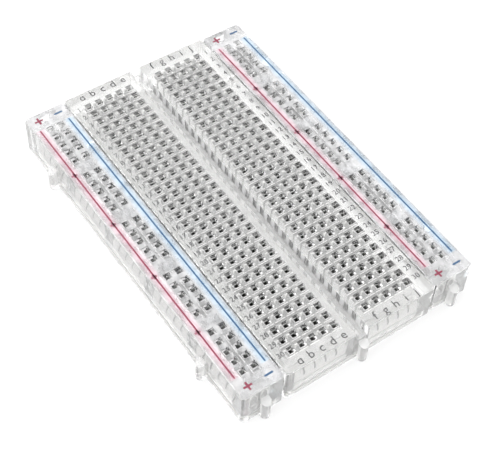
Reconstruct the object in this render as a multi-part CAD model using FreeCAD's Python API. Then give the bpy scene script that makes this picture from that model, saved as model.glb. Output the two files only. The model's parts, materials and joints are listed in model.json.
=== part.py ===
import FreeCAD, Part
import os

# Clear half-size solderless breadboard: a terminal strip between two bus strips.
# Origin at the centre of the hole grid on the mounting surface, +Z up.
# X runs across the board through the lettered columns, Y along it; row 1 is at +Y.

PITCH = 2.54              # tie-point grid
ROW_COUNT = 30
WAYS = 5                  # leaf pairs and tie points in one contact group
GROUP_COUNT = 5           # contact groups along one rail
GROUP_STEP = 6            # pitches from one rail group to the next

TERMINAL_W = 35.5
TERMINAL_L = 82.2
BUS_W = 9.5
BUS_L = 81.7
BUS_CENTRE_X = 22.74
STRIP_GAP = BUS_CENTRE_X - BUS_W / 2 - TERMINAL_W / 2   # between the walls of joined strips
BANK_CENTRE_X = 3.5 * PITCH    # middle of the five columns on one side of the channel
RAIL_OFFSET_X = 0.5 * PITCH    # each rail from the middle of its bus strip

SKIRT_Z = 0.2             # lower rim of the mouldings above the mounting surface
RECESS_Z = 1.5            # roof of the shallow tray that takes the foam pad
CAVITY_TOP_Z = 7.75       # underside of the top plate
TOP_Z = 8.7
SKIRT_T = 1.0
TOP_EDGE = 0.2            # broken edge round the top face
CORNER = 0.5              # corner cut of each moulding in plan
CHANNEL_W = 2.2
CHANNEL_Z = 6.3           # floor of the centre channel

HOLE = 1.3                # square throat of a tie point
MOUTH = 1.42              # square mouth of a tie point
FUNNEL_H = 0.1
CAVITY_L = 12.5
CAVITY_W = 2.06
LINK_SLOT_W = 1.8
LINK_SLOT_H = 0.5

TAB_NECK_W = 1.3
TAB_R = 1.05
TAB_REACH = 0.65          # centre of the rounded head out from the wall
TAB_TOP_Z = 5.6
TAB_SLOPE = 0.9           # drop of the tab's sloped lead-in from wall to head
TAB_Y = 28.0              # interlock stations along the long sides
KEY_CLEAR = 0.1
SLOT_TOP_Z = 5.8            # blind end, under the channel floor
BOSS_W = 5.0              # wall left standing round a key slot inside the tray
BOSS_D = 2.9

SHEET_T = 0.2             # spring strip
CLIP_L = 12.26
SLIT_W = 0.42             # cut between neighbouring leaves
SLIT_Z = 2.9
CLIP_PROFILE = [          # half width and height of a leaf's outer face, spine to lip
    (0.78, RECESS_Z), (0.88, 1.64), (0.92, 1.9),      # turned up from the flat spine
    (0.92, 3.2), (0.86, 3.9), (0.52, 4.6),            # leg and shoulder
    (0.29, 5.0), (0.25, 5.2), (0.29, 5.4),            # pinch that grips a wire
    (0.74, 6.7), (0.84, 7.25), (0.94, 7.5),           # mouth and turned-out lip
]
RAIL_LINK_Z = 1.72        # the bare spine between rail groups stays under this

LINER_T = 0.12
PAD_CLEAR = 0.15

PLACES = GROUP_COUNT * GROUP_STEP - 1             # pitches along a rail, group gaps included
RAIL_L = PLACES * PITCH - (WAYS * PITCH - CLIP_L)


def box(x0, x1, y0, y1, z0, z1):
    return Part.makeBox(x1 - x0, y1 - y0, z1 - z0, FreeCAD.Vector(x0, y0, z0))


def moved(shape, x=0.0, y=0.0, z=0.0):
    copy = shape.copy()
    copy.translate(FreeCAD.Vector(x, y, z))
    return copy


def turned(shape, degrees):
    copy = shape.copy()
    copy.rotate(FreeCAD.Vector(), FreeCAD.Vector(0, 0, 1), degrees)
    return copy


def square(width, z):
    h = width / 2
    return Part.makePolygon([FreeCAD.Vector(x, y, z) for x, y in
                             ((-h, -h), (h, -h), (h, h), (-h, h), (-h, -h))])


def cut_corner_rectangle(width, length, corner):
    """Plan of a moulding or pad: a rectangle with its corners cut at 45 degrees."""
    a = width / 2
    b = length / 2
    quarter = [(a, b - corner), (a - corner, b)]
    points = quarter + [(-x, y) for x, y in reversed(quarter)]
    points += [(-x, -y) for x, y in quarter] + [(x, -y) for x, y in reversed(quarter)]
    return [FreeCAD.Vector(x, y, 0) for x, y in points + points[:1]]


def plan_prism(width, length, corner, z0, z1):
    face = Part.Face(Part.makePolygon(cut_corner_rectangle(width, length, corner)))
    face.translate(FreeCAD.Vector(0, 0, z0))
    return face.extrude(FreeCAD.Vector(0, 0, z1 - z0))


def moulding_blank(width, length):
    """Solid block of one strip with its upper edges broken and the foam tray below."""
    body = plan_prism(width, length, CORNER, SKIRT_Z, TOP_Z - TOP_EDGE)
    low = Part.makePolygon(cut_corner_rectangle(width, length, CORNER))
    low.translate(FreeCAD.Vector(0, 0, TOP_Z - TOP_EDGE))
    inset = 2 * TOP_EDGE
    high = Part.makePolygon(cut_corner_rectangle(width - inset, length - inset, CORNER))
    high.translate(FreeCAD.Vector(0, 0, TOP_Z))
    return body.fuse(Part.makeLoft([low, high], True, True)).removeSplitter()


def tie_point():
    """Void of one tie point: a square throat under a shallow square funnel."""
    h = HOLE / 2
    throat = box(-h, h, -h, h, CAVITY_TOP_Z - TOP_EDGE, TOP_Z)
    funnel = Part.makeLoft([square(HOLE, TOP_Z - FUNNEL_H), square(MOUTH, TOP_Z)], True, True)
    return throat.fuse(funnel)


def group_void():
    """Void of one five-way contact lying along X, with its five tie points."""
    half_l = CAVITY_L / 2
    half_w = CAVITY_W / 2
    cavity = box(-half_l, half_l, -half_w, half_w, RECESS_Z - TOP_EDGE, CAVITY_TOP_Z)
    hole = tie_point()
    middle = (WAYS - 1) / 2
    holes = [moved(hole, (i - middle) * PITCH) for i in range(WAYS)]
    return cavity.fuse(holes).removeSplitter()


def rail_void():
    """Void of one rail lying along Y: five group voids joined by a low link slot."""
    group = turned(group_void(), 90)
    middle = (GROUP_COUNT - 1) / 2
    step = GROUP_STEP * PITCH
    groups = [moved(group, 0, (i - middle) * step) for i in range(GROUP_COUNT)]
    reach = middle * step
    slot = box(-LINK_SLOT_W / 2, LINK_SLOT_W / 2, -reach, reach,
               RECESS_Z - TOP_EDGE, RECESS_Z + LINK_SLOT_H)
    return slot.fuse(groups).removeSplitter()


def key_prism(grow, z0, z1):
    """Interlock key reaching out along -X from a wall at x = 0, thickened by grow."""
    radius = TAB_R + grow
    half_neck = TAB_NECK_W / 2 + grow
    head = Part.makeCylinder(radius, z1 - z0, FreeCAD.Vector(-TAB_REACH, 0, z0))
    return head.fuse(box(-TAB_REACH, TAB_REACH, -half_neck, half_neck, z0, z1))


def tab():
    """Key standing proud of a wall, its upper end sloped away from the wall as a lead-in."""
    key = key_prism(0.0, SKIRT_Z, TAB_TOP_Z)
    reach = TAB_REACH + TAB_R
    profile = [FreeCAD.Vector(x, -TAB_R, z) for x, z in
               ((-reach, TAB_TOP_Z), (0, TAB_TOP_Z), (-reach, TAB_TOP_Z - TAB_SLOPE), (-reach, TAB_TOP_Z))]
    wedge = Part.Face(Part.makePolygon(profile))
    return key.cut(wedge.extrude(FreeCAD.Vector(0, 2 * TAB_R, 0)))


def interlock(blank, width, length):
    """Keys on the -X and -Y walls and matching blind slots in the +X and +Y walls."""
    a = width / 2
    b = length / 2
    key = tab()
    slot = key_prism(KEY_CLEAR, SKIRT_Z, SLOT_TOP_Z)
    keys = [moved(key, -a, -TAB_Y), moved(key, -a, TAB_Y), moved(turned(key, 90), 0, -b)]
    slots = [moved(slot, a + STRIP_GAP, y) for y in (-TAB_Y, TAB_Y)]
    slots.append(moved(turned(slot, 90), 0, b + STRIP_GAP))
    return blank.fuse(keys).cut(slots)


def tray(width, length, shrink, z0, z1):
    """Foam tray of a strip, or with shrink its pad: it steps in round the key slots."""
    a = width / 2
    b = length / 2
    gap = 2 * (SKIRT_T + shrink)
    plan = plan_prism(width - gap, length - gap, CORNER, z0, z1)
    half = BOSS_W / 2 + shrink
    depth = BOSS_D + shrink
    bosses = [box(a - depth, a, y - half, y + half, z0, z1) for y in (-TAB_Y, TAB_Y)]
    bosses.append(box(-half, half, b - depth, b, z0, z1))
    return plan.cut(bosses)


def row_y(number):
    return ((ROW_COUNT + 1) / 2 - number) * PITCH


def terminal_housing():
    blank = interlock(moulding_blank(TERMINAL_W, TERMINAL_L), TERMINAL_W, TERMINAL_L)
    half = CHANNEL_W / 2
    channel = box(-half, half, -TERMINAL_L, TERMINAL_L, CHANNEL_Z, 2 * TOP_Z)
    void = group_void()
    voids = [moved(void, side * BANK_CENTRE_X, row_y(n))
             for side in (-1, 1) for n in range(1, ROW_COUNT + 1)]
    opened = blank.cut([channel, tray(TERMINAL_W, TERMINAL_L, 0.0, 0.0, RECESS_Z)])
    return opened.cut(Part.makeCompound(voids))


def bus_housing():
    blank = interlock(moulding_blank(BUS_W, BUS_L), BUS_W, BUS_L)
    void = rail_void()
    rails = [moved(void, side * RAIL_OFFSET_X) for side in (-1, 1)]
    opened = blank.cut(tray(BUS_W, BUS_L, 0.0, 0.0, RECESS_Z))
    return opened.cut(Part.makeCompound(rails))


def strip_outline(points, thickness):
    """Closed outline of a bent strip from its outer line, thickness laid to the left."""
    inner = []
    for i, point in enumerate(points):
        before = points[max(i - 1, 0)]
        after = points[min(i + 1, len(points) - 1)]
        run = (point - before) if i else (after - point)
        rise = (after - point) if i < len(points) - 1 else run
        run.normalize()
        rise.normalize()
        bisector = FreeCAD.Vector(0, -(run.z + rise.z), run.y + rise.y)
        bisector.normalize()
        normal = FreeCAD.Vector(0, -run.z, run.y)
        inner.append(point + bisector * (thickness / bisector.dot(normal)))
    outline = points + inner[::-1]
    return Part.Face(Part.makePolygon(outline + outline[:1]))


def clip_section():
    """Cross-section of a sprung contact: flat spine, bellied legs, pinch and flared lips."""
    right = [FreeCAD.Vector(0, y, z) for y, z in CLIP_PROFILE]
    left = [FreeCAD.Vector(0, -y, z) for y, z in reversed(CLIP_PROFILE)]
    return strip_outline(left + right, SHEET_T)


def sprung_strip(length):
    """Contact section run along X, centred on the origin and not yet slit."""
    face = clip_section()
    face.translate(FreeCAD.Vector(-length / 2, 0, 0))
    return face.extrude(FreeCAD.Vector(length, 0, 0))


def slit(x, width, floor_z):
    return box(x - width / 2, x + width / 2, -CAVITY_W, CAVITY_W, floor_z, TOP_Z)


def five_way_clip():
    middle = (WAYS - 2) / 2
    slits = [slit((i - middle) * PITCH, SLIT_W, SLIT_Z) for i in range(WAYS - 1)]
    return sprung_strip(CLIP_L).cut(slits)


def rail_contact():
    """One rail's strip along Y: 25 leaf pairs in five groups on a common spine."""
    middle = (PLACES - 1) / 2
    cuts = [slit((i + 0.5 - middle) * PITCH, SLIT_W, SLIT_Z) for i in range(PLACES - 1)]
    cuts += [slit((i - middle) * PITCH, PITCH + SLIT_W, RAIL_LINK_Z)
             for i in range(WAYS, PLACES, GROUP_STEP)]
    return turned(sprung_strip(RAIL_L).cut(cuts), 90)


def foam_pad(width, length):
    return tray(width, length, PAD_CLEAR, LINER_T, RECESS_Z)


def release_liner(width, length):
    return tray(width, length, PAD_CLEAR, 0.0, LINER_T)


def export(name, shape, solids=1):
    found = shape.Solids
    if len(found) != solids or not shape.isValid():
        raise ValueError(name + " has %d solids, valid %s" % (len(found), shape.isValid()))
    body = found[0] if solids == 1 else Part.makeCompound(found)
    body.exportStep("parts/" + name + ".step")


def export_terminal_strip():
    export("terminal_housing", terminal_housing())
    clip = five_way_clip()
    for n in range(1, ROW_COUNT + 1):
        pair = [moved(clip, side * BANK_CENTRE_X, row_y(n)) for side in (-1, 1)]
        export("clips_row_%02d" % n, Part.makeCompound(pair), 2)
    export("terminal_foam_pad", foam_pad(TERMINAL_W, TERMINAL_L))
    export("terminal_release_liner", release_liner(TERMINAL_W, TERMINAL_L))


def export_bus_strips():
    pieces = {"housing": bus_housing(), "foam_pad": foam_pad(BUS_W, BUS_L),
              "release_liner": release_liner(BUS_W, BUS_L)}
    contact = rail_contact()
    for side, x in (("left", -BUS_CENTRE_X), ("right", BUS_CENTRE_X)):
        for piece, shape in pieces.items():
            export("%s_bus_%s" % (side, piece), moved(shape, x))
        export("%s_bus_positive_rail" % side, moved(contact, x - RAIL_OFFSET_X))
        export("%s_bus_negative_rail" % side, moved(contact, x + RAIL_OFFSET_X))


os.makedirs("parts", exist_ok=True)
export_terminal_strip()
export_bus_strips()
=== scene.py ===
"""Clear half-size solderless breadboard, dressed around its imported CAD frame.

Lengths are in metres through MM, in the CAD's own frame: +X runs across the board from column a
to column j, +Y towards row 1, +Z up, with the mounting surface at z = 0.
"""
import json
import math

import bmesh
import bpy
from mathutils import Matrix, Vector


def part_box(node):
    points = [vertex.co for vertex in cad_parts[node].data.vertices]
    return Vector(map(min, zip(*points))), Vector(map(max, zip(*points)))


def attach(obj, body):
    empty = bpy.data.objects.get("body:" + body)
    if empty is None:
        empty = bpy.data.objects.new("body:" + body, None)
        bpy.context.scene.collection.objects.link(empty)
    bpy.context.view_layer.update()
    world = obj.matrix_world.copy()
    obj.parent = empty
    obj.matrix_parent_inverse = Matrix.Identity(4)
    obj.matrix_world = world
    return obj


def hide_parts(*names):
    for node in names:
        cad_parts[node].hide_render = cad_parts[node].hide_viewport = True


MM = 0.001
PITCH = 2.54 * MM
ROWS = 30
COLUMNS = "abcdefghij"
BANK_COLUMNS = 5                        # columns on each side of the channel
CHANNEL_SPAN = 3 * PITCH                # between columns e and f
BUS_OF_BODY = {"left_bus_strip": "left_bus", "right_bus_strip": "right_bus"}

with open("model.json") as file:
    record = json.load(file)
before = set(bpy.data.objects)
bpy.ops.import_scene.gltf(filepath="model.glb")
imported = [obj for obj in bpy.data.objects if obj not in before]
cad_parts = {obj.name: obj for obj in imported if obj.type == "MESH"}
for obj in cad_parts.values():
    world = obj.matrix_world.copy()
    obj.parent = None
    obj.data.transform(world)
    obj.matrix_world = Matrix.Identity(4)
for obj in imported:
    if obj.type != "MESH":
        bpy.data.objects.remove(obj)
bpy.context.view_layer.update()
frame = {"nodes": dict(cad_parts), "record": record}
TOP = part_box("terminal_housing")[1][2]


# Node helpers

# Sockets of a colour Mix node, by number because several of them share a name.
MIX_FACTOR, MIX_FIRST, MIX_SECOND, MIX_RESULT = 0, 6, 7, 2
NOISE_LOW, NOISE_HIGH = 0.35, 0.65      # the part of a noise's range that it mostly stays in
EVEN = (1, 1, 1)                        # stretch of a pattern that is the same every way


def feed(tree, socket, value):
    """Link a node's output to the socket, or set a plain value. A colour is given as RGB."""
    if isinstance(value, bpy.types.NodeSocket):
        tree.links.new(value, socket)
    elif socket.type == "RGBA":
        socket.default_value = (*value, 1)
    else:
        socket.default_value = value


def feed_inputs(tree, target, **values):
    """Feed the node's inputs, named with underscores for spaces."""
    for name, value in values.items():
        feed(tree, target.inputs[name.replace("_", " ")], value)


def node(tree, kind, properties=(), **values):
    made = tree.nodes.new(kind)
    for name, value in properties:
        setattr(made, name, value)
    feed_inputs(tree, made, **values)
    return made


def new_material(name):
    material = bpy.data.materials.new(name)
    material.use_nodes = True
    tree = material.node_tree
    shader = next(n for n in tree.nodes if n.type == "BSDF_PRINCIPLED")
    return material, tree, shader


def math_node(tree, operation, *values):
    """Math node whose inputs are sockets or plain numbers."""
    made = node(tree, "ShaderNodeMath", [("operation", operation)])
    for socket, value in zip(made.inputs, values):
        feed(tree, socket, value)
    return made.outputs[0]


def size_of(tree, value):
    """The value without its sign."""
    return math_node(tree, "ABSOLUTE", value)


def product(tree, *values):
    """All the values multiplied together."""
    result = values[0]
    for value in values[1:]:
        result = math_node(tree, "MULTIPLY", result, value)
    return result


def axes(tree, vector):
    """X, Y and Z of a vector socket."""
    return node(tree, "ShaderNodeSeparateXYZ", Vector=vector).outputs


def object_coordinates(tree):
    """Coordinates of the object itself, which for a CAD node are those of the frame."""
    return node(tree, "ShaderNodeTexCoord").outputs["Object"]


def stretched(tree, scale):
    """Object coordinates stretched by scale, so a pattern keeps its size on the part."""
    return node(tree, "ShaderNodeMapping", Vector=object_coordinates(tree), Scale=scale).outputs[0]


def noise(tree, scale, detail, stretch=EVEN):
    """Cloudy number between 0 and 1, with about scale cells to the metre."""
    made = node(tree, "ShaderNodeTexNoise", Vector=stretched(tree, stretch), Scale=scale, Detail=detail)
    return made.outputs[0]


def ramp(tree, value, low, high, start=NOISE_LOW, end=NOISE_HIGH):
    """Number going from low to high as value goes from start to end, and held beyond them."""
    made = node(tree, "ShaderNodeMapRange", Value=value, From_Min=start, From_Max=end,
                To_Min=low, To_Max=high)
    return made.outputs[0]


def between(tree, factor, first, second):
    """Number going from first to second as factor goes from 0 to 1."""
    return ramp(tree, factor, first, second, 0.0, 1.0)


def blend(tree, factor, first, second, blend_type="MIX"):
    """Colour going from first to second as factor goes from 0 to 1. Each is a socket or RGB."""
    made = node(tree, "ShaderNodeMix", [("data_type", "RGBA"), ("blend_type", blend_type)])
    for index, value in ((MIX_FACTOR, factor), (MIX_FIRST, first), (MIX_SECOND, second)):
        feed(tree, made.inputs[index], value)
    return made.outputs[MIX_RESULT]


def bump(tree, height, distance, strength=1.0):
    return node(tree, "ShaderNodeBump", Height=height, Distance=distance, Strength=strength).outputs[0]


# Clear plastic

PLASTIC_IOR = 1.5
EDGE_BAND = 0.12 * MM                   # depth over which the outer skin counts as skin
SKIN_SLACK = EDGE_BAND / 4              # a face this near a plane counts as lying in it
FACE_SLACK = 0.02 * MM                  # a spot this near the top face counts as on it
ON_FACE = 0.5                           # edge weight from which a spot is on the top face
SIDE_CLEAR = 0.82
END_CLEAR = 0.74
CORE_CLEAR = 0.96
KEY_CLEAR = 0.9                         # clearness that the small keys keep
KEY_START = 0.05 * MM                   # a spot this far out from the walls is on a key
KEY_REACH = 1.7 * MM                    # how far the keys stand out of the walls
PLATE_UNDERSIDE = 7.75 * MM             # of the plate that the tie points go through
ACROSS = 0.6                            # a face is square to an axis past this part of its normal

# Patterns: cells to the metre, detail, and stretch along X, Y and Z.
FLOW = (260, 2.0, (1, 0.35, 1))
CLOUD = (420, 3.0)
HAZE = (900, 4.0)
FLOW_RELIEF = 0.02 * MM
SKIN_ROUGHNESS = (0.02, 0.08)

# Darkest and lightest tone of each part of a moulding.
CORE_TONES = ((0.975, 0.975, 0.98), (0.995, 0.995, 0.995))
# Painted shade: these parts are toned darker than the core, set for how brightly the light falls on each
# side.
END_SHADE_TONES = ((0.915, 0.917, 0.908), (0.96, 0.962, 0.953))
FLANK_SHADE_TONES = ((0.70, 0.70, 0.695), (0.78, 0.78, 0.775))
KEY_SHADE_TONES = ((0.80, 0.80, 0.795), (0.86, 0.86, 0.855))

# Top face of each kind of strip: its range of clearness, its tones, darker than the core as painted
# shade, and the tone of the painted shade on the walls across a tie point. The bus strips are milkier.
TERMINAL_FACE = ((0.80, 0.84), ((0.91, 0.91, 0.902), (0.95, 0.95, 0.94)), 0.25)
BUS_FACE = ((0.60, 0.83), ((0.69, 0.69, 0.698), (0.75, 0.75, 0.758)), 0.55)

# Side of X on which a moulding's long wall is the outside of the board, 0 where neither is.
FLANKS = {"terminal_housing": 0, "left_bus_housing": -1, "right_bus_housing": 1}

LINE_W = 0.33 * MM
LINE_L = 72.4 * MM
LINE_X = 3.42 * MM                      # printed lines from the middle of a bus strip
# Painted halo: the lines' colours painted onto the top face beside them, standing in for light the ink
# scatters into the plastic.
HALO_PINK = (0.86, 0.46, 0.57)
HALO_BLUE = (0.36, 0.62, 0.86)
HALO_STRENGTH = 0.6                    # share of its colour right beside the line
HALO_CLEAR = 0.8                       # clearness kept under a full painted halo
HALO_INNER = 0.2 * MM
HALO_OUTER = 1.3 * MM

CHANNEL_HALF = 1.1 * MM
CHANNEL_FLOOR = 6.3 * MM
FLOOR_LOSS = 0.10                       # clearness that the channel's floor loses
WINDOW_LOSS = 0.12                      # and its walls before each contact
PARTITION_LOSS = 0.55                   # and its walls between two contacts
WINDOW = 0.23                           # half width of the wall before a contact, in pitches
WAY_SOFTNESS = 0.03                     # width of the border round it, in pitches
ROW_PHASE = 0.5                         # rows and columns lie half a pitch off the origin
RAIL_PHASE = 0.0                        # the rails' ways lie on it


def axis_edge(tree, value, low, high):
    """1 in the skin at either end of a box side, 0 between them."""
    offset = math_node(tree, "SUBTRACT", value, (low + high) / 2)
    reach = (high - low) / 2
    return ramp(tree, size_of(tree, offset), 0.0, 1.0, reach - 2 * EDGE_BAND, reach - EDGE_BAND)


def near_way(tree, value, phase, half_width):
    """1 within half_width pitches of the tie points along one axis, 0 between them."""
    # Half a step is added and taken away again, so that 0 falls on a tie point.
    steps = math_node(tree, "ADD", math_node(tree, "DIVIDE", value, PITCH), phase + 0.5)
    offset = math_node(tree, "SUBTRACT", math_node(tree, "FRACT", steps), 0.5)
    return ramp(tree, size_of(tree, offset), 1.0, 0.0, half_width, half_width + WAY_SOFTNESS)


def square_to(tree, normal_part):
    """1 on faces square to the axis of that part of the normal."""
    return math_node(tree, "GREATER_THAN", size_of(tree, normal_part), ACROSS)


def bleed_weight(tree, at, line_x):
    """Weight of the painted halo on the top face beside a printed line, fading out to both sides of it.
    """
    away = size_of(tree, math_node(tree, "SUBTRACT", at[0], line_x))
    near = ramp(tree, away, HALO_STRENGTH, 0.0, HALO_INNER, HALO_OUTER)
    ends = ramp(tree, size_of(tree, at[1]), 1.0, 0.0, LINE_L / 2, LINE_L / 2 + HALO_INNER)
    face = math_node(tree, "GREATER_THAN", at[2], TOP - FACE_SLACK)
    return product(tree, near, ends, face)


def channel_kept(tree, at, normal):
    """Clearness that the channel keeps on its floor and walls: least between two contacts."""
    inside = math_node(tree, "LESS_THAN", size_of(tree, at[0]), CHANNEL_HALF + SKIN_SLACK)
    above = math_node(tree, "GREATER_THAN", at[2], CHANNEL_FLOOR - SKIN_SLACK)
    window = near_way(tree, at[1], ROW_PHASE, WINDOW)
    wall_loss = product(tree, square_to(tree, normal[0]),
                        between(tree, window, PARTITION_LOSS, WINDOW_LOSS))
    loss = product(tree, math_node(tree, "MAXIMUM", wall_loss, FLOOR_LOSS), inside, above)
    return math_node(tree, "SUBTRACT", 1.0, loss)


def key_weight(tree, at, low):
    """1 on the keys, which stand out of the -X and -Y walls, 0 on the rest."""
    past_x = math_node(tree, "LESS_THAN", at[0], low[0] - KEY_START)
    past_y = math_node(tree, "LESS_THAN", at[1], low[1] - KEY_START)
    return math_node(tree, "MAXIMUM", past_x, past_y)


def hole_weight(tree, at, normal, edges):
    """Mask of painted shade: 1 on the walls across each tie point, 0 on the rest and on the outer sides.
    """
    plate = math_node(tree, "GREATER_THAN", at[2], PLATE_UNDERSIDE - SKIN_SLACK)
    indoors = math_node(tree, "SUBTRACT", 1.0, math_node(tree, "MAXIMUM", edges[0], edges[1]))
    return product(tree, square_to(tree, normal[1]), plate, indoors)


def skin_clearness(tree, edges, face_clear):
    """Clearness of the moulding: hazier in the skin of each side than in the core."""
    side = between(tree, edges[0], CORE_CLEAR, SIDE_CLEAR)
    end = between(tree, edges[1], CORE_CLEAR, END_CLEAR)
    on_face = math_node(tree, "GREATER_THAN", edges[2], ON_FACE)
    cloudy = ramp(tree, noise(tree, *CLOUD), *face_clear)
    step = product(tree, on_face, math_node(tree, "SUBTRACT", cloudy, CORE_CLEAR))
    face = math_node(tree, "ADD", step, CORE_CLEAR)
    return math_node(tree, "MINIMUM", math_node(tree, "MINIMUM", side, end), face)


def flank_weight(tree, at, edges, middle_x, flank):
    """1 on the long wall that is the outside of the board, 0 on the others."""
    away = math_node(tree, "SUBTRACT", at[0], middle_x)
    outward = math_node(tree, "GREATER_THAN", product(tree, away, flank), 0.0)
    return product(tree, edges[0], outward)


def clear_plastic(name, low, high, face, flank, lines):
    """Clear moulding: hazy outer skin, flow ripples, polished cavities, painted shade at tie points."""
    material, tree, shader = new_material(name)
    face_clear, face_shade_tones, hole_shade_tone = face
    at = axes(tree, object_coordinates(tree))
    normal = axes(tree, node(tree, "ShaderNodeNewGeometry").outputs["True Normal"])
    edges = [axis_edge(tree, at[i], low[i], high[i]) for i in range(3)]
    on_key = key_weight(tree, at, low)
    on_flank = flank_weight(tree, at, edges, (low[0] + high[0]) / 2, flank)
    flow = noise(tree, *FLOW)

    clearness = product(tree, skin_clearness(tree, edges, face_clear),
                        between(tree, on_key, 1.0, KEY_CLEAR))
    if not lines:
        clearness = product(tree, clearness, channel_kept(tree, at, normal))
    tone = blend(tree, flow, *CORE_TONES)
    # Painted shade: top face, ends, outer flank and keys toned darker than the core.
    for weight, tones in ((edges[2], face_shade_tones), (edges[1], END_SHADE_TONES),
                          (on_flank, FLANK_SHADE_TONES), (on_key, KEY_SHADE_TONES)):
        tone = blend(tree, weight, tone, blend(tree, flow, *tones))
    # Painted halo beside each printed line.
    for line_x, colour in lines:
        weight = bleed_weight(tree, at, line_x)
        tone = blend(tree, weight, tone, colour)
        clearness = product(tree, clearness, between(tree, weight, 1.0, HALO_CLEAR))
    # Painted shade: the walls across each tie point darkened by the strip's hole shade tone.
    shade = blend(tree, hole_weight(tree, at, normal, edges), (1, 1, 1), (hole_shade_tone,) * 3)

    feed_inputs(tree, shader, IOR=PLASTIC_IOR, Transmission_Weight=clearness,
                Base_Color=blend(tree, 1.0, tone, shade, "MULTIPLY"),
                Roughness=ramp(tree, noise(tree, *HAZE), *SKIN_ROUGHNESS),
                Normal=bump(tree, flow, FLOW_RELIEF))
    return material


# Contacts

THROAT_REACH = 2.0 * MM
THROAT_SAMPLES = 6
LIP_Z = 7.38 * MM                       # painted shade starts below this, so the leaves' lips above it keep their plating
LIP_SOFTNESS = 0.05 * MM
ENCLOSED = (0.8, 0.96)                  # open sky at which the painted shade is full, and at which there is none
# Painted shade: the dark tone painted into the throats between the leaves in place of the plating.
ROW_THROAT_SHADE = (0.10, 0.10, 0.098)
RAIL_THROAT_SHADE = (0.42, 0.42, 0.415)       # painted shade in the rail throats, lighter as they are lit from the side through the strip's walls
DEEP_Z = (6.6 * MM, 6.9 * MM)           # under this the painted shade covers the throat between tie points too
UNDER_HOLE = 0.29                       # half width of the leaf under painted shade, in pitches
OPEN_METALLIC = 0.2                     # satin plating outside the painted shade, where light reaches it
PLATING_TONES = ((0.88, 0.875, 0.86), (0.97, 0.965, 0.955))
PLATING_ROUGHNESS = (0.38, 0.58)
STREAKS = (5000, 3.0, (0.12, 0.12, 1))
STAINS = (700, 3.0)
STREAK_RELIEF = 0.004 * MM


def throat_weight(tree, axis, phase):
    """Mask of painted shade: 1 deep between the leaves under a tie point, 0 where open to the light."""
    sky = node(tree, "ShaderNodeAmbientOcclusion", [("samples", THROAT_SAMPLES), ("only_local", True)],
               Distance=THROAT_REACH).outputs["AO"]
    at = axes(tree, object_coordinates(tree))
    below_lip = ramp(tree, at[2], 1.0, 0.0, LIP_Z - LIP_SOFTNESS, LIP_Z)
    enclosed = ramp(tree, sky, 1.0, 0.0, *ENCLOSED)
    deep = ramp(tree, at[2], 1.0, 0.0, *DEEP_Z)
    reach = math_node(tree, "MAXIMUM", near_way(tree, at[axis], phase, UNDER_HOLE), deep)
    return product(tree, below_lip, enclosed, reach)


def spring_strip(name, axis, phase, throat_shade_tone):
    """Nickel-plated strip: rolling streaks, small stains, painted shade in the throats between the
    leaves.
    """
    material, tree, shader = new_material(name)
    plated = blend(tree, noise(tree, *STAINS), *PLATING_TONES)
    # Painted shade deep in the throats, from ambient occlusion, height and position under the tie
    # points.
    shaded = throat_weight(tree, axis, phase)
    streaks = noise(tree, *STREAKS)
    feed_inputs(tree, shader, Base_Color=blend(tree, shaded, plated, throat_shade_tone),
                Metallic=between(tree, shaded, OPEN_METALLIC, 1.0),
                Roughness=ramp(tree, streaks, *PLATING_ROUGHNESS),
                Normal=bump(tree, streaks, STREAK_RELIEF))
    return material


# Foam, paper, ink and floor

MATT = 0.9
FOAM_TONES = ((0.56, 0.56, 0.555), (0.66, 0.66, 0.65))
FOAM_MOTTLE = (500, 4.0)
FOAM_CELLS = 3200                       # to the metre
CELL_RELIEF = 0.08 * MM
CELL_STRENGTH = 0.6
PAPER_TONES = ((0.80, 0.78, 0.70), (0.90, 0.885, 0.82))
PAPER_ROUGHNESS = (0.42, 0.62)
PAPER_MOTTLE = (180, 3.0)
FIBRES = (2600, 6.0, (1, 0.3, 1))
FIBRE_RELIEF = 0.01 * MM
SILICONE_COAT = 0.25                    # faint gloss of the release side
INK_COVER = (2200, 4.0)
INK_ROUGHNESS = (0.35, 0.6)
INK_RELIEF = 0.004 * MM
RED_TONES = ((0.13, 0.006, 0.025), (0.19, 0.016, 0.045))
BLUE_TONES = ((0.006, 0.04, 0.10), (0.015, 0.07, 0.155))
# Painted shadow: dark mauve marks on the red line at the group gaps, for the shadow of the ribs under
# it.
RIB_SHADOW_TONES = ((0.16, 0.045, 0.07), (0.24, 0.08, 0.11))
GREY_TONES = ((0.012, 0.012, 0.013), (0.03, 0.03, 0.033))
FLOOR_TONES = ((0.195, 0.195, 0.195), (0.205, 0.205, 0.205))
FLOOR_GRAIN = (40, 4.0)
FLOOR_GLOW = 0.70


def foam_tape():
    material, tree, shader = new_material("foam_tape")
    cells = node(tree, "ShaderNodeTexVoronoi", Vector=stretched(tree, EVEN), Scale=FOAM_CELLS).outputs[0]
    feed_inputs(tree, shader, Base_Color=blend(tree, noise(tree, *FOAM_MOTTLE), *FOAM_TONES),
                Roughness=MATT, Normal=bump(tree, cells, CELL_RELIEF, CELL_STRENGTH))
    return material


def liner_paper():
    material, tree, shader = new_material("liner_paper")
    fibres = noise(tree, *FIBRES)
    feed_inputs(tree, shader, Base_Color=blend(tree, noise(tree, *PAPER_MOTTLE), *PAPER_TONES),
                Roughness=ramp(tree, fibres, *PAPER_ROUGHNESS), Coat_Weight=SILICONE_COAT,
                Normal=bump(tree, fibres, FIBRE_RELIEF))
    return material


def ink(name, tones):
    """Pad-printed ink: slightly uneven cover, a little texture."""
    material, tree, shader = new_material(name)
    cover = noise(tree, *INK_COVER)
    feed_inputs(tree, shader, Base_Color=blend(tree, cover, *tones),
                Roughness=ramp(tree, cover, *INK_ROUGHNESS), Normal=bump(tree, cover, INK_RELIEF))
    return material


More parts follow.
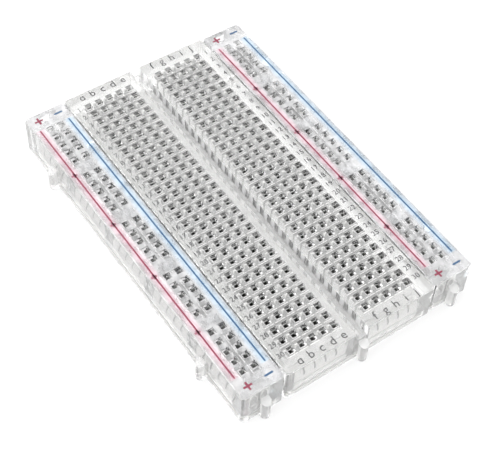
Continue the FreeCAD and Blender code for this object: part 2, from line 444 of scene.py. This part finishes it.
def floor_material():
    material, tree, shader = new_material("pale_floor")
    feed_inputs(tree, shader, Base_Color=blend(tree, noise(tree, *FLOOR_GRAIN), *FLOOR_TONES),
                Roughness=MATT, Emission_Color=(1, 1, 1), Emission_Strength=FLOOR_GLOW)
    return material


ROW_METAL = spring_strip("row_contacts", 0, ROW_PHASE, ROW_THROAT_SHADE)
RAIL_METAL = spring_strip("rail_contacts", 1, RAIL_PHASE, RAIL_THROAT_SHADE)
FOAM = foam_tape()
PAPER = liner_paper()
RED = ink("red_ink", RED_TONES)
BLUE = ink("blue_ink", BLUE_TONES)
RIB_SHADOW = ink("mauve_ink", RIB_SHADOW_TONES)
GREY = ink("grey_ink", GREY_TONES)
SLOT_MATERIALS = {"foam_tape": FOAM, "liner_paper": PAPER}


# CAD nodes

def wall_box(name):
    """Box of a moulding's walls, leaving out the keys on its -X and -Y sides."""
    low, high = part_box(name)
    return (low[0] + KEY_REACH, low[1] + KEY_REACH, low[2]), high


def bus_middle(prefix):
    """X of the middle of a bus strip, halfway between its rails."""
    sides = [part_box(prefix + rail)[side][0]
             for rail in ("_positive_rail", "_negative_rail") for side in (0, 1)]
    return sum(sides) / len(sides)


def bleeds(name):
    """X of the printed lines on a moulding and colour of their painted halos: none on the terminal
    strip.
    """
    if "bus" not in name:
        return ()
    middle = bus_middle(name.replace("_housing", ""))
    return (middle - LINE_X, HALO_PINK), (middle + LINE_X, HALO_BLUE)


def node_material(name, slot_name):
    if slot_name == "clear_plastic":
        face = BUS_FACE if "bus" in name else TERMINAL_FACE
        return clear_plastic("clear_plastic_" + name, *wall_box(name), face, FLANKS[name], bleeds(name))
    if slot_name == "spring_strip":
        return RAIL_METAL if "rail" in name else ROW_METAL
    return SLOT_MATERIALS[slot_name]


def dress_cad_nodes():
    slots = {part["node"]: part["material_slot"] for part in frame["record"]["subparts"]}
    for name, obj in frame["nodes"].items():
        material = node_material(name, slots[name])
        for slot in obj.material_slots:
            slot.material = material


# Pads and liners

FOAM_GAP = 0.05 * MM
FOAM_VOXEL = 0.3 * MM
FOAM_SMOOTHING = 0.5
FOAM_SWELL = 0.04 * MM                  # depth of the uneven skin
FOAM_LUMPS = 1.2 * MM                   # size of its lumps
PAPER_ROLL = 0.03 * MM
PAPER_ROLL_STEPS = 2


def add_piece(name, mesh, material, body):
    piece = bpy.data.objects.new(name, mesh)
    bpy.context.scene.collection.objects.link(piece)
    mesh.materials.clear()
    mesh.materials.append(material)
    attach(piece, body)
    return piece


def soften(piece):
    """Turn a plain solid into fine quads with rounded rims and a slightly uneven skin."""
    remesh = piece.modifiers.new("remesh", "REMESH")
    remesh.mode = "VOXEL"
    remesh.voxel_size = FOAM_VOXEL
    remesh.use_smooth_shade = True
    smooth = piece.modifiers.new("smooth", "SMOOTH")
    smooth.factor = FOAM_SMOOTHING
    smooth.iterations = 1
    texture = bpy.data.textures.new(piece.name + "_relief", "CLOUDS")
    texture.noise_scale = FOAM_LUMPS
    displace = piece.modifiers.new("relief", "DISPLACE")
    displace.texture = texture
    displace.texture_coords = "GLOBAL"
    displace.strength = FOAM_SWELL
    displace.mid_level = 1.0            # so the skin is only ever pushed in


def foam_pad(node_name, body):
    """Foam pad under one strip, just clear of the tray roof and of the liner."""
    mesh = frame["nodes"][node_name].data.copy()
    low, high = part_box(node_name)
    middle = (low[2] + high[2]) / 2
    for vertex in mesh.vertices:
        vertex.co.z += FOAM_GAP if vertex.co.z < middle else -FOAM_GAP
    piece = add_piece(node_name + "_skin", mesh, FOAM, body)
    soften(piece)
    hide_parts(node_name)


def liner(node_name, body):
    """Release paper with a rolled edge, flat on the mounting surface."""
    mesh = frame["nodes"][node_name].data.copy()
    piece = add_piece(node_name + "_sheet", mesh, PAPER, body)
    bevel = piece.modifiers.new("edge", "BEVEL")
    bevel.width = PAPER_ROLL
    bevel.segments = PAPER_ROLL_STEPS
    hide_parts(node_name)


# Print

INK_SINK = 0.006 * MM
INK_PROUD = 0.012 * MM
ROUND_END_STEPS = 8
MARK_Y = 38.75 * MM
PLUS_X = -2.3 * MM
MINUS_X = 2.35 * MM
PLUS_SIZE = 1.9 * MM
MINUS_SIZE = 2.0 * MM
MARK_W = 0.42 * MM
DOT_W = 1.25 * MM
DOT_L = 0.95 * MM
DOT_X = -0.15 * MM
DOT_Y = -1.3 * MM
GROUP_PITCH = 6 * PITCH                 # five tie points and a gap
GROUP_GAPS = [step * GROUP_PITCH for step in (-1.5, -0.5, 0.5, 1.5)]
LETTER_SIZE = 2.6 * MM
NUMBER_SIZE = 1.65 * MM
LETTER_Y = 39.7 * MM
NUMBER_X = 16.3 * MM
GLYPH_CURVE_STEPS = 3
WELD = 0.001 * MM


def ink_mesh(name, outlines):
    """Thin closed prisms of print standing on the top face, one for each outline."""
    bm = bmesh.new()
    for outline in outlines:
        low = [bm.verts.new((x, y, TOP - INK_SINK)) for x, y in outline]
        high = [bm.verts.new((x, y, TOP + INK_PROUD)) for x, y in outline]
        bm.faces.new(low[::-1])
        bm.faces.new(high)
        for i in range(len(outline)):
            j = (i + 1) % len(outline)
            bm.faces.new((low[i], low[j], high[j], high[i]))
    bmesh.ops.recalc_face_normals(bm, faces=bm.faces)
    mesh = bpy.data.meshes.new(name)
    bm.to_mesh(mesh)
    bm.free()
    return mesh


def bar(x, y, width, length):
    """Outline of a printed stroke along Y with half-round ends."""
    radius = width / 2
    reach = length / 2 - radius
    points = []
    for sign, turn in ((1, 0.0), (-1, math.pi)):
        for i in range(ROUND_END_STEPS + 1):
            angle = turn + math.pi * i / ROUND_END_STEPS
            points.append((x + radius * math.cos(angle), y + sign * reach + radius * math.sin(angle)))
    return points


def cross(x, y, width, length):
    """Outline of a plus sign."""
    a = width / 2
    b = length / 2
    corner = [(b, -a), (b, a), (a, a)]
    points = []
    for quarter in range(4):
        turn = Matrix.Rotation(quarter * math.pi / 2, 2)
        points += [tuple(turn @ Vector(p)) for p in corner]
    return [(x + px, y + py) for px, py in points]


def print_piece(name, outlines, material, body):
    piece = add_piece(name, ink_mesh(name, outlines), material, body)


def bus_print(prefix, body):
    """Lines, signs and painted rib shadows of one bus strip."""
    middle = bus_middle(prefix)
    print_piece(prefix + "_red_line", [bar(middle - LINE_X, 0, LINE_W, LINE_L)], RED, body)
    print_piece(prefix + "_blue_line", [bar(middle + LINE_X, 0, LINE_W, LINE_L)], BLUE, body)
    plus = [cross(middle + PLUS_X, y, MARK_W, PLUS_SIZE) for y in (-MARK_Y, MARK_Y)]
    print_piece(prefix + "_plus_signs", plus, RED, body)
    # Painted shadow: small dark crosses on the red line at each group gap, where the ribs under the line
    # show dark.
    shadow_marks = [cross(middle - LINE_X + DOT_X, y + DOT_Y, DOT_L / 2, DOT_W) for y in GROUP_GAPS]
    print_piece(prefix + "_gap_marks", shadow_marks, RIB_SHADOW, body)
    stroke = bar(0, 0, MARK_W, MINUS_SIZE)
    minus = [[(middle + MINUS_X + py, y - px) for px, py in stroke] for y in (-MARK_Y, MARK_Y)]
    print_piece(prefix + "_minus_signs", minus, BLUE, body)


def column_x(index):
    side = 1 if index >= BANK_COLUMNS else -1
    return (index - (len(COLUMNS) - 1) / 2) * PITCH + side * (CHANNEL_SPAN - PITCH) / 2


def row_y(number):
    return ((ROWS + 1) / 2 - number) * PITCH


def glyph_mesh(text, size):
    """Short label in the built-in face, centred on the origin."""
    curve = bpy.data.curves.new("label", "FONT")
    curve.body = text
    curve.size = size
    curve.align_x = "CENTER"
    curve.align_y = "CENTER"
    curve.extrude = (INK_SINK + INK_PROUD) / 2
    curve.resolution_u = GLYPH_CURVE_STEPS
    temporary = bpy.data.objects.new("label", curve)
    mesh = bpy.data.meshes.new_from_object(temporary)
    bpy.data.objects.remove(temporary)
    return mesh


def plain_a(size):
    """Single-storey letter a: a letter d cut off at the height of a letter c."""
    top = max(vertex.co.y for vertex in glyph_mesh("c", size).vertices)
    mesh = glyph_mesh("d", size)
    bm = bmesh.new()
    bm.from_mesh(mesh)
    bmesh.ops.remove_doubles(bm, verts=bm.verts, dist=WELD)
    bmesh.ops.bisect_plane(bm, geom=bm.verts[:] + bm.edges[:] + bm.faces[:],
                           plane_co=(0, top, 0), plane_no=(0, 1, 0), clear_outer=True)
    bmesh.ops.holes_fill(bm, edges=[edge for edge in bm.edges if edge.is_boundary])
    bm.to_mesh(mesh)
    bm.free()
    return mesh


def glyphs(text, size, x, y):
    """Mesh of a short label, centred on x and y and lying on the top face."""
    mesh = plain_a(size) if text == "a" else glyph_mesh(text, size)
    mesh.transform(Matrix.Translation((x, y, TOP + (INK_PROUD - INK_SINK) / 2)))
    return mesh


def labels(name, entries, size, body):
    """One piece of print out of (text, x, y) entries."""
    bm = bmesh.new()
    for text, x, y in entries:
        bm.from_mesh(glyphs(text, size, x, y))
    bmesh.ops.remove_doubles(bm, verts=bm.verts, dist=WELD)
    mesh = bpy.data.meshes.new(name)
    bm.to_mesh(mesh)
    bm.free()
    piece = add_piece(name, mesh, GREY, body)


def terminal_print(body):
    """Column letters at both ends and row numbers down both sides of the terminal strip."""
    for end, sign in (("front", -1), ("back", 1)):
        entries = [(letter, column_x(i), sign * LETTER_Y) for i, letter in enumerate(COLUMNS)]
        labels("column_letters_" + end, entries, LETTER_SIZE, body)
    for side, sign in (("left", -1), ("right", 1)):
        entries = [(str(n), sign * NUMBER_X, row_y(n)) for n in range(1, ROWS + 1)]
        labels("row_numbers_" + side, entries, NUMBER_SIZE, body)


# Stage

CAMERA_AIM = Vector((-3.52, -8.70, 8.70)) * MM
CAMERA_DISTANCE = 243.3 * MM
CAMERA_AZIMUTH = math.radians(37.70)    # view direction, from +Y towards +X
CAMERA_ELEVATION = math.radians(52.20)
CAMERA_ROLL = math.radians(3.42)
CAMERA_LENS = 87.56
CAMERA_NEAR = 10 * MM
LAMP_PLACE = Vector((-250, 150, 420)) * MM
LAMP_SIZE = 700 * MM
LAMP_WATTS = 2.8
HORIZON_LIGHT = 1.08
OVERHEAD_LIGHT = 1.72
OVERHEAD_START = 0.8                    # height on the unit sky from which it is overhead
FLOOR_SIZE = 4.0
FLOOR_CELLS = 8
FLOOR_DROP = 0.01 * MM                  # keeps the floor off the liners
BOUNCES = 24
GLOSSY_BOUNCES = 8


def add_camera():
    level = math.cos(CAMERA_ELEVATION)
    forward = Vector((level * math.sin(CAMERA_AZIMUTH), level * math.cos(CAMERA_AZIMUTH),
                      -math.sin(CAMERA_ELEVATION)))
    data = bpy.data.cameras.new("camera")
    data.lens = CAMERA_LENS
    data.clip_start = CAMERA_NEAR
    camera = bpy.data.objects.new("camera", data)
    bpy.context.scene.collection.objects.link(camera)
    aim = forward.to_track_quat("-Z", "Y").to_matrix().to_4x4()
    camera.matrix_world = (Matrix.Translation(CAMERA_AIM - forward * CAMERA_DISTANCE) @ aim
                           @ Matrix.Rotation(CAMERA_ROLL, 4, "Z"))
    bpy.context.scene.camera = camera


def add_lamp():
    """Large soft square of light behind and to the left, turned towards the board."""
    data = bpy.data.lights.new("key_light", "AREA")
    data.shape = "SQUARE"
    data.size = LAMP_SIZE
    data.energy = LAMP_WATTS
    lamp = bpy.data.objects.new("key_light", data)
    lamp.location = LAMP_PLACE
    lamp.rotation_euler = (-lamp.location).to_track_quat("-Z", "Y").to_euler()
    bpy.context.scene.collection.objects.link(lamp)


def add_world():
    """Bright surround, paler overhead and greyer towards the horizon."""
    world = bpy.data.worlds.new("studio")
    world.use_nodes = True
    bpy.context.scene.world = world
    tree = world.node_tree
    sky = axes(tree, node(tree, "ShaderNodeTexCoord").outputs["Generated"])
    background = next(n for n in tree.nodes if n.type == "BACKGROUND")
    feed_inputs(tree, background, Color=(1, 1, 1),
                Strength=ramp(tree, sky[2], HORIZON_LIGHT, OVERHEAD_LIGHT, 0.0, OVERHEAD_START))


def add_floor():
    bm = bmesh.new()
    bmesh.ops.create_grid(bm, x_segments=FLOOR_CELLS, y_segments=FLOOR_CELLS, size=FLOOR_SIZE / 2)
    mesh = bpy.data.meshes.new("floor")
    bm.to_mesh(mesh)
    bm.free()
    floor = bpy.data.objects.new("floor", mesh)
    floor.location.z = -FLOOR_DROP
    mesh.materials.append(floor_material())
    bpy.context.scene.collection.objects.link(floor)


def set_light_paths():
    scene = bpy.context.scene
    scene.view_settings.view_transform = "Standard"
    scene.cycles.max_bounces = BOUNCES
    scene.cycles.transmission_bounces = BOUNCES
    scene.cycles.transparent_max_bounces = BOUNCES
    scene.cycles.glossy_bounces = GLOSSY_BOUNCES


dress_cad_nodes()
foam_pad("terminal_foam_pad", "terminal_strip")
liner("terminal_release_liner", "terminal_strip")
terminal_print("terminal_strip")
for body_name, bus in BUS_OF_BODY.items():
    foam_pad(bus + "_foam_pad", body_name)
    liner(bus + "_release_liner", body_name)
    bus_print(bus, body_name)
add_floor()
add_world()
add_lamp()
add_camera()
set_light_paths()
